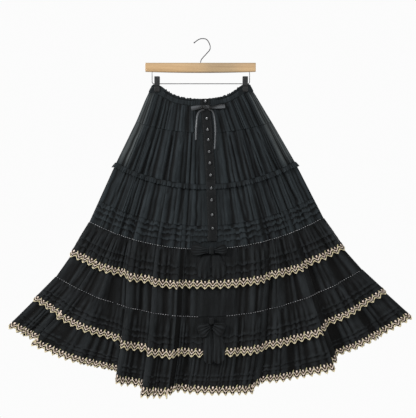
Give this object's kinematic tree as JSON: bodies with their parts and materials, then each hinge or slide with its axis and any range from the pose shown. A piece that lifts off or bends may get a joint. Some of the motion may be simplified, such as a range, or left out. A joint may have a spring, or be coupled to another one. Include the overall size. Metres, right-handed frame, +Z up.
{
  "type": "tiered skirt on a wooden clip hanger",
  "caption": "Long gathered tiered skirt with ruffles, lace edges, a button placket and bows, hung flat by clips from a wooden skirt hanger.",
  "frame": {"origin": "the hang point: under the top of the hook's wire, where a rail or peg holds the hanger", "axes": "+X to the viewer's right along the hanger bar, +Y away from the viewer through the skirt from front to back, +Z up"},
  "size_m": [1.278, 0.1392, 1.1313],
  "materials": {
    "black_cotton": "matte fine cotton lawn",
    "embroidered_lace": "black net with beige and gold zigzag embroidery",
    "satin_ribbon": "dark grey satin",
    "black_button": "glossy",
    "beech_wood": "satin lacquered",
    "steel_wire": "bright plated wire",
    "clip_black": "dark grey coated"
  },
  "bodies": {
    "root": {"waistband_front": "black_cotton", "waistband_back": "black_cotton", "yoke_front": "black_cotton", "yoke_back": "black_cotton", "tier_1_front": "black_cotton", "tier_1_back": "black_cotton", "frill_1_front": "black_cotton", "frill_1_back": "black_cotton", "tier_2_front": "black_cotton", "tier_2_back": "black_cotton", "tuck_band_front": "black_cotton", "tuck_band_back": "black_cotton", "tier_3_front": "black_cotton", "tier_3_back": "black_cotton", "ruffle_a_front": "black_cotton", "ruffle_a_back": "black_cotton", "ruffle_b_front": "black_cotton", "ruffle_b_back": "black_cotton", "flounce_c_front": "black_cotton", "flounce_c_back": "black_cotton", "lace_a_front": "embroidered_lace", "lace_a_back": "embroidered_lace", "lace_b_front": "embroidered_lace", "lace_b_back": "embroidered_lace", "lace_c_front": "embroidered_lace", "lace_c_back": "embroidered_lace", "placket": "black_cotton", "button_01": "black_button", "button_02": "black_button", "button_03": "black_button", "button_04": "black_button", "button_05": "black_button", "button_06": "black_button", "button_07": "black_button", "button_08": "black_button", "button_09": "black_button", "button_10": "black_button", "button_11": "black_button", "ribbon_knot": "satin_ribbon", "ribbon_loop_left": "satin_ribbon", "ribbon_loop_right": "satin_ribbon", "ribbon_tail_left": "satin_ribbon", "ribbon_tail_right": "satin_ribbon", "bow_upper_knot": "black_cotton", "bow_upper_loop_left": "black_cotton", "bow_upper_loop_right": "black_cotton", "bow_upper_tail_left": "black_cotton", "bow_upper_tail_right": "black_cotton", "bow_lower_knot": "black_cotton", "bow_lower_loop_left": "black_cotton", "bow_lower_loop_right": "black_cotton", "bow_lower_tail_left": "black_cotton", "bow_lower_tail_right": "black_cotton", "hanger_bar": "beech_wood", "hanger_hook": "steel_wire", "hanger_wire": "steel_wire", "clip_left": "clip_black", "clip_right": "clip_black"}
  },
  "joints": []
}
